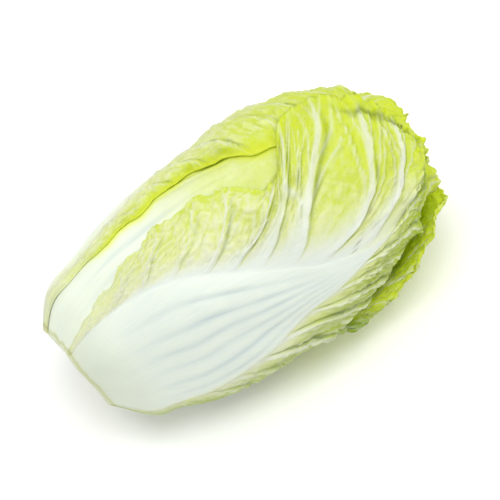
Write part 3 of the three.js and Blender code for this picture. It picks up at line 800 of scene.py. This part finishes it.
def sheet_mesh(name, grid):
    """A closed leaf: a grid, extruded to a slab, with its places and marks set from the grid."""
    rows, columns = grid["t"].shape
    bm = bmesh.new()
    bmesh.ops.create_grid(bm, x_segments=columns - 1, y_segments=rows - 1, size=1)
    made = bmesh.ops.extrude_face_region(bm, geom=bm.faces[:], use_keep_orig=True)
    top = [v for v in made["geom"] if isinstance(v, bmesh.types.BMVert)]
    bmesh.ops.translate(bm, verts=top, vec=(0, 0, 1))
    bmesh.ops.recalc_face_normals(bm, faces=bm.faces[:])
    bmesh.ops.reverse_faces(bm, faces=bm.faces[:])
    mesh = bpy.data.meshes.new(name)
    bm.to_mesh(mesh)
    flat = np.empty(len(mesh.vertices) * 3, np.float32)
    mesh.vertices.foreach_get("co", flat)
    x, y, z = flat.reshape(-1, 3).T
    column = np.rint((x + 1) / 2 * (columns - 1)).astype(int)
    row = np.rint((y + 1) / 2 * (rows - 1)).astype(int)
    on_top = z > 0.5
    inner = on_head(grid["t"], grid["turn"], grid["inner"])
    outer = on_head(grid["t"], grid["turn"], grid["outer"])
    inner[..., 2] = np.maximum(inner[..., 2], MARGIN)
    outer[..., 2] = np.maximum(outer[..., 2], 0)
    places = np.where(on_top[:, None], outer[row, column], inner[row, column]) * MM
    mesh.vertices.foreach_set("co", places.astype(np.float32).ravel())
    for mark in MARKS:
        layer = mesh.attributes.new(mark, "FLOAT", "POINT")
        layer.data.foreach_set("value", grid[mark][row, column].astype(np.float32))
    uv = mesh.uv_layers.new(name="leaf")
    corner = np.empty(len(mesh.loops), np.int32)
    mesh.loops.foreach_get("vertex_index", corner)
    midrib_turn = grid["turn"][:, columns // 2:columns // 2 + 1]
    along = grid["t"][row, column] * UV_ALONG
    aside = (grid["turn"] - midrib_turn)[row, column] * UV_ROUND
    uv.uv.foreach_set("vector", np.stack([along, aside], 1)[corner].astype(np.float32).ravel())
    bm.clear()
    bm.from_mesh(mesh)
    bm.verts.ensure_lookup_table()
    tip = set(np.nonzero(row == rows - 1)[0])
    wall = [f for f in bm.faces if all(v.index in tip for v in f.verts)]
    bmesh.ops.delete(bm, geom=wall, context="FACES_ONLY")
    bmesh.ops.remove_doubles(bm, verts=bm.verts[:], dist=1e-7)
    bm.to_mesh(mesh)
    bm.free()
    mesh.polygons.foreach_set("use_smooth", [True] * len(mesh.polygons))
    return mesh


def turned_mesh(name, profile, steps=96):
    """A closed turned shape about the head's axis, from places along it and radii."""
    bm = bmesh.new()
    verts = [bm.verts.new((x, 0, r)) for x, r in profile]
    edges = [bm.edges.new(pair) for pair in zip(verts, verts[1:])]
    bmesh.ops.spin(bm, geom=verts + edges, axis=(1, 0, 0), cent=(0, 0, 0), steps=steps,
                   angle=2 * math.pi, use_merge=True)
    bmesh.ops.remove_doubles(bm, verts=bm.verts[:], dist=1e-4)
    bmesh.ops.recalc_face_normals(bm, faces=bm.faces[:])
    mesh = bpy.data.meshes.new(name)
    bm.to_mesh(mesh)
    bm.free()
    flat = np.empty(len(mesh.vertices) * 3, np.float32)
    mesh.vertices.foreach_get("co", flat)
    places = lying_down(flat.reshape(-1, 3).astype(float)) * MM
    mesh.vertices.foreach_set("co", places.astype(np.float32).ravel())
    mesh.polygons.foreach_set("use_smooth", [True] * len(mesh.polygons))
    return mesh


def add_piece(mesh, node, material):
    """An object of the mesh, which takes the node's place."""
    piece = bpy.data.objects.new(mesh.name, mesh)
    bpy.context.scene.collection.objects.link(piece)
    mesh.materials.append(material)
    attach(piece, "root")
    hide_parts(node)
    return piece


# ---------------------------------------------------------------- materials

FIBRE_STRETCH = (1.2, 30.0, 1.0)
LIGHT_THROUGH_BLADE = 0.3
YOUNG = 0.25


class NodeTable:
    """Adds shader nodes to a material, given as kind and input values or sockets."""

    def __init__(self, name):
        self.material = bpy.data.materials.new(name)
        self.material.use_nodes = True
        self.tree = self.material.node_tree
        self.tree.nodes.clear()

    def add(self, kind, settings=None, **inputs):
        node = self.tree.nodes.new("ShaderNode" + kind)
        for key, value in (settings or {}).items():
            setattr(node, key, value)
        for key, value in inputs.items():
            self.put(node.inputs[key.replace("_", " ")], value)
        return node

    def put(self, socket, value):
        if isinstance(value, bpy.types.NodeSocket):
            self.tree.links.new(value, socket)
        else:
            socket.default_value = value

    def math(self, operation, a, b=0.0, clamp=False):
        node = self.tree.nodes.new("ShaderNodeMath")
        node.operation = operation
        node.use_clamp = clamp
        self.put(node.inputs[0], a)
        self.put(node.inputs[1], b)
        return node.outputs[0]

    def mix(self, share, a, b):
        node = self.tree.nodes.new("ShaderNodeMix")
        node.data_type = "RGBA"
        self.put(node.inputs[0], share)
        self.put(node.inputs[6], a)
        self.put(node.inputs[7], b)
        return node.outputs[2]

    def attribute(self, name):
        return self.add("Attribute", {"attribute_name": name}).outputs["Fac"]

    def mark(self, name, strength):
        return self.math("MULTIPLY", self.attribute(name), strength, True)

    def around(self, noise, strength):
        """A noise shifted to swing evenly either side of 0."""
        return self.math("MULTIPLY", self.math("SUBTRACT", noise, 0.5), strength)

    def ramp(self, value, stops):
        node = self.add("ValToRGB", None, Fac=value)
        ramp = node.color_ramp
        while len(ramp.elements) < len(stops):
            ramp.elements.new(0.5)
        for element, (place, colour) in zip(ramp.elements, stops):
            element.position = place
            element.color = colour
        return node.outputs["Color"]

    def finish(self, shader):
        self.add("OutputMaterial", None, Surface=shader)
        return self.material


class SkinPatterns:
    """The noises, the finest veins and the fibres that a leaf's colour and bumps share."""

    def __init__(self, n):
        place = n.add("TexCoord").outputs["Object"]
        uv = n.add("UVMap", {"uv_map": "leaf"}).outputs["UV"]
        self.cloud = n.add("TexNoise", None, Vector=place, Scale=38.0, Detail=4.0,
                           Roughness=0.55).outputs[0]
        self.mottle = n.add("TexNoise", None, Vector=place, Scale=190.0, Detail=3.0,
                            Roughness=0.6).outputs[0]
        net = n.add("TexVoronoi", {"feature": "DISTANCE_TO_EDGE"}, Vector=uv, Scale=26.0,
                    Randomness=1.0)
        border = n.math("MULTIPLY", net.outputs["Distance"], 9.0, True)
        self.veinlet = n.math("SUBTRACT", 1.0, border, True)
        along = n.add("Mapping", None, Vector=uv, Scale=FIBRE_STRETCH).outputs[0]
        self.fibre = n.add("TexNoise", None, Vector=along, Scale=4.0, Detail=3.0).outputs[0]


def blade_colour(n, patterns, colours, youth):
    """Pale blade that greens towards the margin, with cream veins, painted shade in deep green and
    painted shade in the furrows.
    """
    shade = n.math("ADD", n.attribute("green"), n.around(patterns.cloud, 0.5))
    shade = n.math("ADD", shade, n.around(patterns.mottle, 0.4))
    shade = n.math("SUBTRACT", shade, youth, True)
    blade = n.ramp(shade, [(0.0, colours.blade_pale), (0.35, colours.blade_light),
                           (0.7, colours.blade_green), (1.0, colours.blade_margin)])
    lined = n.math("MAXIMUM", n.mark("vein", 0.95), n.math("MULTIPLY", patterns.veinlet, 0.14))
    # Painted shade: deep green where a blade turns under the head's side and on the lower half
    blade = n.mix(n.mark("painted_shade", 0.75), blade, colours.painted_shade)
    blade = n.mix(lined, blade, colours.vein)
    # Painted shade in the furrows beside the side veins
    return n.mix(n.mark("furrow", 0.9), blade, colours.furrow)


def flesh_colour(n, patterns, colours):
    """White midrib with darker furrows and faint fibres."""
    fibres = n.math("MULTIPLY", n.math("SUBTRACT", patterns.fibre, 0.42), 0.8, True)
    flesh = n.mix(n.attribute("warm"), colours.rib, colours.rib_warm)
    flesh = n.mix(n.mark("groove", 0.85), flesh, colours.rib_shade)
    return n.mix(fibres, flesh, colours.rib_shade)


def leaf_material(name, colours, youth):
    """Leaf skin: satin, with a little light coming through the blade."""
    n = NodeTable(name)
    patterns = SkinPatterns(n)
    rib = n.attribute("rib")
    blade = n.math("SUBTRACT", 1.0, rib)
    colour = n.mix(rib, blade_colour(n, patterns, colours, youth),
                   flesh_colour(n, patterns, colours))
    # Painted shade of the same furrows where they cross the white flesh
    furrow_shade_in_flesh = n.math("MULTIPLY", n.math("MULTIPLY", n.attribute("furrow"), rib), 0.5)
    colour = n.mix(furrow_shade_in_flesh, colour, colours.furrow_shade_rib)
    colour = n.mix(n.mark("glow", 0.8), colour, colours.glow)
    # Painted shade: the leaf bases darker and greyer near the cut
    colour = n.mix(n.mark("base", 0.6), colour, colours.base)
    colour = n.mix(n.mark("dry", 0.6), colour, colours.dry)
    colour = n.mix(n.mark("speck", 0.8), colour, colours.speck)
    lumps = n.math("ADD", n.math("MULTIPLY", patterns.mottle, 0.5),
                   n.math("MULTIPLY", patterns.veinlet, 0.6))
    lumps = n.math("MULTIPLY", lumps, blade)
    fibres = n.math("MULTIPLY", n.math("MULTIPLY", patterns.fibre, rib), 0.5)
    lumps = n.math("ADD", lumps, fibres)
    bump = n.add("Bump", None, Strength=0.35, Distance=0.0006, Height=lumps).outputs[0]
    rough = n.math("ADD", 0.36, n.math("MULTIPLY", patterns.cloud, 0.16))
    surface = n.add("BsdfPrincipled", None, Base_Color=colour, Roughness=rough, Normal=bump,
                    Subsurface_Weight=0.25, Subsurface_Scale=0.004,
                    Subsurface_Radius=(1.0, 1.0, 0.45), IOR=1.42)
    through_light = n.add("BsdfTranslucent", None, Color=colour, Normal=bump)
    both = n.add("MixShader")
    n.put(both.inputs[0], n.math("MULTIPLY", blade, LIGHT_THROUGH_BLADE))
    n.put(both.inputs[1], surface.outputs[0])
    n.put(both.inputs[2], through_light.outputs[0])
    return n.finish(both.outputs[0])


def stem_material(colours):
    """Cut stem: pale, slightly uneven flesh with dried tan patches."""
    n = NodeTable("stem flesh")
    place = n.add("TexCoord").outputs["Object"]
    cloud = n.add("TexNoise", None, Vector=place, Scale=90.0, Detail=5.0, Roughness=0.6)
    dry = n.math("MULTIPLY", n.math("SUBTRACT", cloud.outputs[0], 0.4), 3.0, True)
    colour = n.mix(n.math("MULTIPLY", dry, 0.55), colours.stem, colours.stem_dry)
    bump = n.add("Bump", None, Strength=0.4, Distance=0.0006, Height=cloud.outputs[0])
    shader = n.add("BsdfPrincipled", None, Base_Color=colour, Roughness=0.6,
                   Normal=bump.outputs[0], Subsurface_Weight=0.1, Subsurface_Scale=0.003,
                   Subsurface_Radius=(1.0, 0.8, 0.5))
    return n.finish(shader.outputs[0])


def floor_material(colour):
    """Plain matt floor."""
    n = NodeTable("studio floor")
    shader = n.add("BsdfPrincipled", None, Base_Color=colour, Roughness=0.8)
    return n.finish(shader.outputs[0])


# ---------------------------------------------------------------- sizes and colours

def rgb(red, green, blue):
    """A scene-linear colour from 8-bit screen values."""
    def linear(value):
        value /= 255
        return value / 12.92 if value <= 0.04045 else ((value + 0.055) / 1.055) ** 2.4
    return (linear(red), linear(green), linear(blue), 1.0)


def length(name, description, millimetres):
    return bpy.props.FloatProperty(name=name, description=description, default=millimetres * MM,
                                   min=0.0, precision=5, unit="LENGTH")


def colour(name, description, screen):
    return bpy.props.FloatVectorProperty(name=name, description=description, default=rgb(*screen),
                                         size=4, min=0.0, max=1.0, subtype="COLOR")


class CabbageSizes(bpy.types.PropertyGroup):
    """Sizes of the leaves' relief"""
    blade: length("Blade", "Thickness of a leaf's blade", 1.7)
    gap: length("Gap", "Clearance from one leaf to the next", 0.75)
    pleat: length("Pleat", "Height of the blade's pleats, one to a side vein", 2.6)
    blister: length("Blister", "Height of the small swellings between the veins", 1.5)
    vein: length("Vein", "How far the side veins stand out", 1.1)
    furrow: length("Furrow", "Depth of the furrows along a midrib", 0.9)
    frill: length("Frill", "Height of the short waves along a free margin", 2.4)


class CabbageColours(bpy.types.PropertyGroup):
    """Colours of the leaves, the stem and the floor"""
    rib: colour("Rib", "Midrib flesh", (221, 228, 217))
    rib_warm: colour("Inner rib", "Midrib flesh of the leaves further in", (232, 239, 218))
    rib_shade: colour("Rib shade", "Furrows along the midrib", (184, 200, 198))
    blade_pale: colour("Pale blade", "Blade beside the midrib", (247, 251, 216))
    blade_light: colour("Light blade", "Blade half way out", (241, 249, 172))
    blade_green: colour("Green blade", "Blade near the margin", (224, 238, 84))
    blade_margin: colour("Margin", "The margin itself", (222, 238, 34))
    # Painted shade: the deep green where a blade lies in shade under the head's side
    painted_shade: colour("Deep green", "Blade low on the leaf under the head's side", (132, 172, 28))
    vein: colour("Vein", "Side veins", (242, 245, 228))
    # Painted shade: the dark green in the furrows beside the side veins and in the creases
    furrow: colour("Furrow", "Furrows beside the side veins", (104, 130, 10))
    # Painted shade of those furrows on the white flesh
    furrow_shade_rib: colour("Furrow in flesh", "The same furrows where the flesh is white", (128, 146, 92))
    # Painted shade on the leaf bases near the cut
    base: colour("Base", "Leaf bases near the cut", (206, 214, 188))
    dry: colour("Dried base", "Cut ends of the leaf bases", (182, 184, 96))
    speck: colour("Speck", "Small dark specks on a midrib", (92, 84, 60))
    glow: colour("Lit margin", "Yellow where light comes through a margin", (230, 241, 58))
    stem: colour("Stem", "Fresh cut stem", (238, 234, 212))
    stem_dry: colour("Dried stem", "Dried patches on the cut", (206, 184, 138))
    floor: colour("Floor", "Studio floor", (252, 252, 252))


# ---------------------------------------------------------------- operators

_grids = {}


def grids(context):
    """The leaves' grids, laid up once."""
    if not _grids:
        _grids.update(lay_up(context.scene.cabbage_sizes))
    return _grids


def skin_material(context, name, youth):
    return bpy.data.materials.get(name) or leaf_material(
        name, context.scene.cabbage_colours, youth)


class CABBAGE_OT_outer_leaves(bpy.types.Operator):
    """Make the wrapper leaves"""
    bl_idname = "cabbage.outer_leaves"
    bl_label = "Outer leaves"

    def execute(self, context):
        material = skin_material(context, "leaf skin", 0.0)
        for leaf in OUTER_LEAVES:
            name = f"outer_leaf_{leaf.order + 1}"
            mesh = sheet_mesh(f"wrapper_leaf_{leaf.order + 1}", grids(context)[leaf.order])
            add_piece(mesh, name, material)
        return {"FINISHED"}


class CABBAGE_OT_heart(bpy.types.Operator):
    """Make the heart: a dense core and the young leaves round it"""
    bl_idname = "cabbage.heart"
    bl_label = "Heart"

    def execute(self, context):
        material = skin_material(context, "young leaf skin", YOUNG)
        for leaf in HEART_LEAVES:
            mesh = sheet_mesh(f"heart_leaf_{leaf.order - 7}", grids(context)[leaf.order])
            add_piece(mesh, "heart", material)
        tip = CUT_END + STEM_DEPTH + STEM_CLEARANCE
        profile = [(tip, 0), (tip - STEM_TAPER, STEM_TIP_RADIUS + STEM_CLEARANCE),
                   (CUT_END + 3, STEM_RADIUS + STEM_CLEARANCE),
                   (CUT_END + 1, STEM_RADIUS + STEM_CLEARANCE)]
        skin = through(HEART_OUTLINE, np.linspace(0, 1, 60)) - CORE_INSET
        profile += [(x, max(r, 0)) for x, r in skin]
        mesh = turned_mesh("heart_core", profile)
        add_piece(mesh, "heart", material)
        return {"FINISHED"}


class CABBAGE_OT_stem(bpy.types.Operator):
    """Make the cut stem"""
    bl_idname = "cabbage.stem"
    bl_label = "Stem"

    def execute(self, context):
        tip = CUT_END + STEM_DEPTH
        profile = [(CUT_END + 0.3, 0), (CUT_END, 4), (CUT_END + 0.25, 9), (CUT_END, 14),
                   (CUT_END + 0.2, STEM_RADIUS - 1.4), (CUT_END + 0.5, STEM_RADIUS - 0.5),
                   (CUT_END + 1.2, STEM_RADIUS), (CUT_END + 3, STEM_RADIUS),
                   (tip - STEM_TAPER, STEM_TIP_RADIUS), (tip, 0)]
        mesh = turned_mesh("cut_stem", profile)
        add_piece(mesh, "stem", stem_material(context.scene.cabbage_colours))
        return {"FINISHED"}


FLOOR_REACH = 6
SKY = 0.66
# The lights, all aimed at one point: name, place, diameter, watts
LIGHTS = [
    ("key", (0.0, -0.5, 1.7), 1.1, 15),
    ("side", (1.4, 0.0, 0.8), 1.0, 5.5),
    ("back", (-0.7, 0.9, 1.1), 1.0, 4),
]
LIT_POINT = (0, 0, 0.06)
CAMERA_AZIMUTH = -15
CAMERA_ELEVATION = 50
CAMERA_ROLL = 19.6
CAMERA_DISTANCE = 1.4
CAMERA_LENS = 142.7
CAMERA_AIM = (0.0067, -0.0031)


def add_light(name, place, size, power):
    """A round area light aimed at the lit point."""
    light = bpy.data.lights.new(name, "AREA")
    light.shape = "DISK"
    light.size = size
    light.energy = power
    lamp = bpy.data.objects.new(name, light)
    lamp.location = place
    lamp.rotation_euler = (Vector(LIT_POINT) - Vector(place)).to_track_quat("-Z", "Y").to_euler()
    bpy.context.scene.collection.objects.link(lamp)


class CABBAGE_OT_stage(bpy.types.Operator):
    """Make the floor, the light and the camera"""
    bl_idname = "cabbage.stage"
    bl_label = "Stage"

    def execute(self, context):
        scene = context.scene
        bm = bmesh.new()
        bmesh.ops.create_grid(bm, x_segments=1, y_segments=1, size=FLOOR_REACH)
        mesh = bpy.data.meshes.new("studio_floor")
        bm.to_mesh(mesh)
        bm.free()
        floor = bpy.data.objects.new("studio_floor", mesh)
        mesh.materials.append(floor_material(scene.cabbage_colours.floor))
        scene.collection.objects.link(floor)

        world = bpy.data.worlds.new("studio")
        world.use_nodes = True
        sky = world.node_tree.nodes["Background"]
        sky.inputs["Color"].default_value = (1, 1, 1, 1)
        sky.inputs["Strength"].default_value = SKY
        scene.world = world
        for light in LIGHTS:
            add_light(*light)
        scene.view_settings.view_transform = "Standard"

        azimuth, elevation = math.radians(CAMERA_AZIMUTH), math.radians(CAMERA_ELEVATION)
        back = Vector((math.sin(azimuth) * math.cos(elevation),
                       -math.cos(azimuth) * math.cos(elevation), math.sin(elevation)))
        right = Vector((math.cos(azimuth), math.sin(azimuth), 0))
        up = back.cross(right)
        roll = math.radians(CAMERA_ROLL)
        right, up = (right * math.cos(roll) - up * math.sin(roll),
                     right * math.sin(roll) + up * math.cos(roll))
        middle = (CAD_BOX[0] + CAD_BOX[1]) / 2
        target = middle + right * CAMERA_AIM[0] + up * CAMERA_AIM[1]
        data = bpy.data.cameras.new("camera")
        data.lens = CAMERA_LENS
        data.sensor_width = 36
        data.clip_end = 20
        camera = bpy.data.objects.new("camera", data)
        camera.matrix_world = Matrix.Translation(target + back * CAMERA_DISTANCE) @ Matrix(
            (right, up, back)).transposed().to_4x4()
        scene.collection.objects.link(camera)
        scene.camera = camera
        return {"FINISHED"}


OPERATORS = (CABBAGE_OT_outer_leaves, CABBAGE_OT_heart, CABBAGE_OT_stem, CABBAGE_OT_stage)


class CABBAGE_PT_panel(bpy.types.Panel):
    """Lists the head's sizes, its colours and the operators that make it"""
    bl_idname = "CABBAGE_PT_panel"
    bl_label = "Napa cabbage"
    bl_space_type = "VIEW_3D"
    bl_region_type = "UI"
    bl_category = "Cabbage"

    def draw(self, context):
        for group in (context.scene.cabbage_sizes, context.scene.cabbage_colours):
            for name in group.__annotations__:
                self.layout.prop(group, name)
        for operator in OPERATORS:
            self.layout.operator(operator.bl_idname)


CLASSES = (CabbageSizes, CabbageColours, *OPERATORS, CABBAGE_PT_panel)


def register():
    for cls in CLASSES:
        bpy.utils.register_class(cls)
    bpy.types.Scene.cabbage_sizes = bpy.props.PointerProperty(type=CabbageSizes)
    bpy.types.Scene.cabbage_colours = bpy.props.PointerProperty(type=CabbageColours)


def unregister():
    del bpy.types.Scene.cabbage_colours
    del bpy.types.Scene.cabbage_sizes
    for cls in reversed(CLASSES):
        bpy.utils.unregister_class(cls)


def main():
    register()
    for operator in (bpy.ops.cabbage.outer_leaves, bpy.ops.cabbage.heart, bpy.ops.cabbage.stem,
                     bpy.ops.cabbage.stage):
        if operator() != {"FINISHED"}:
            raise RuntimeError("an operator didn't finish")
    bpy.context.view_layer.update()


if __name__ == "__main__":
    main()
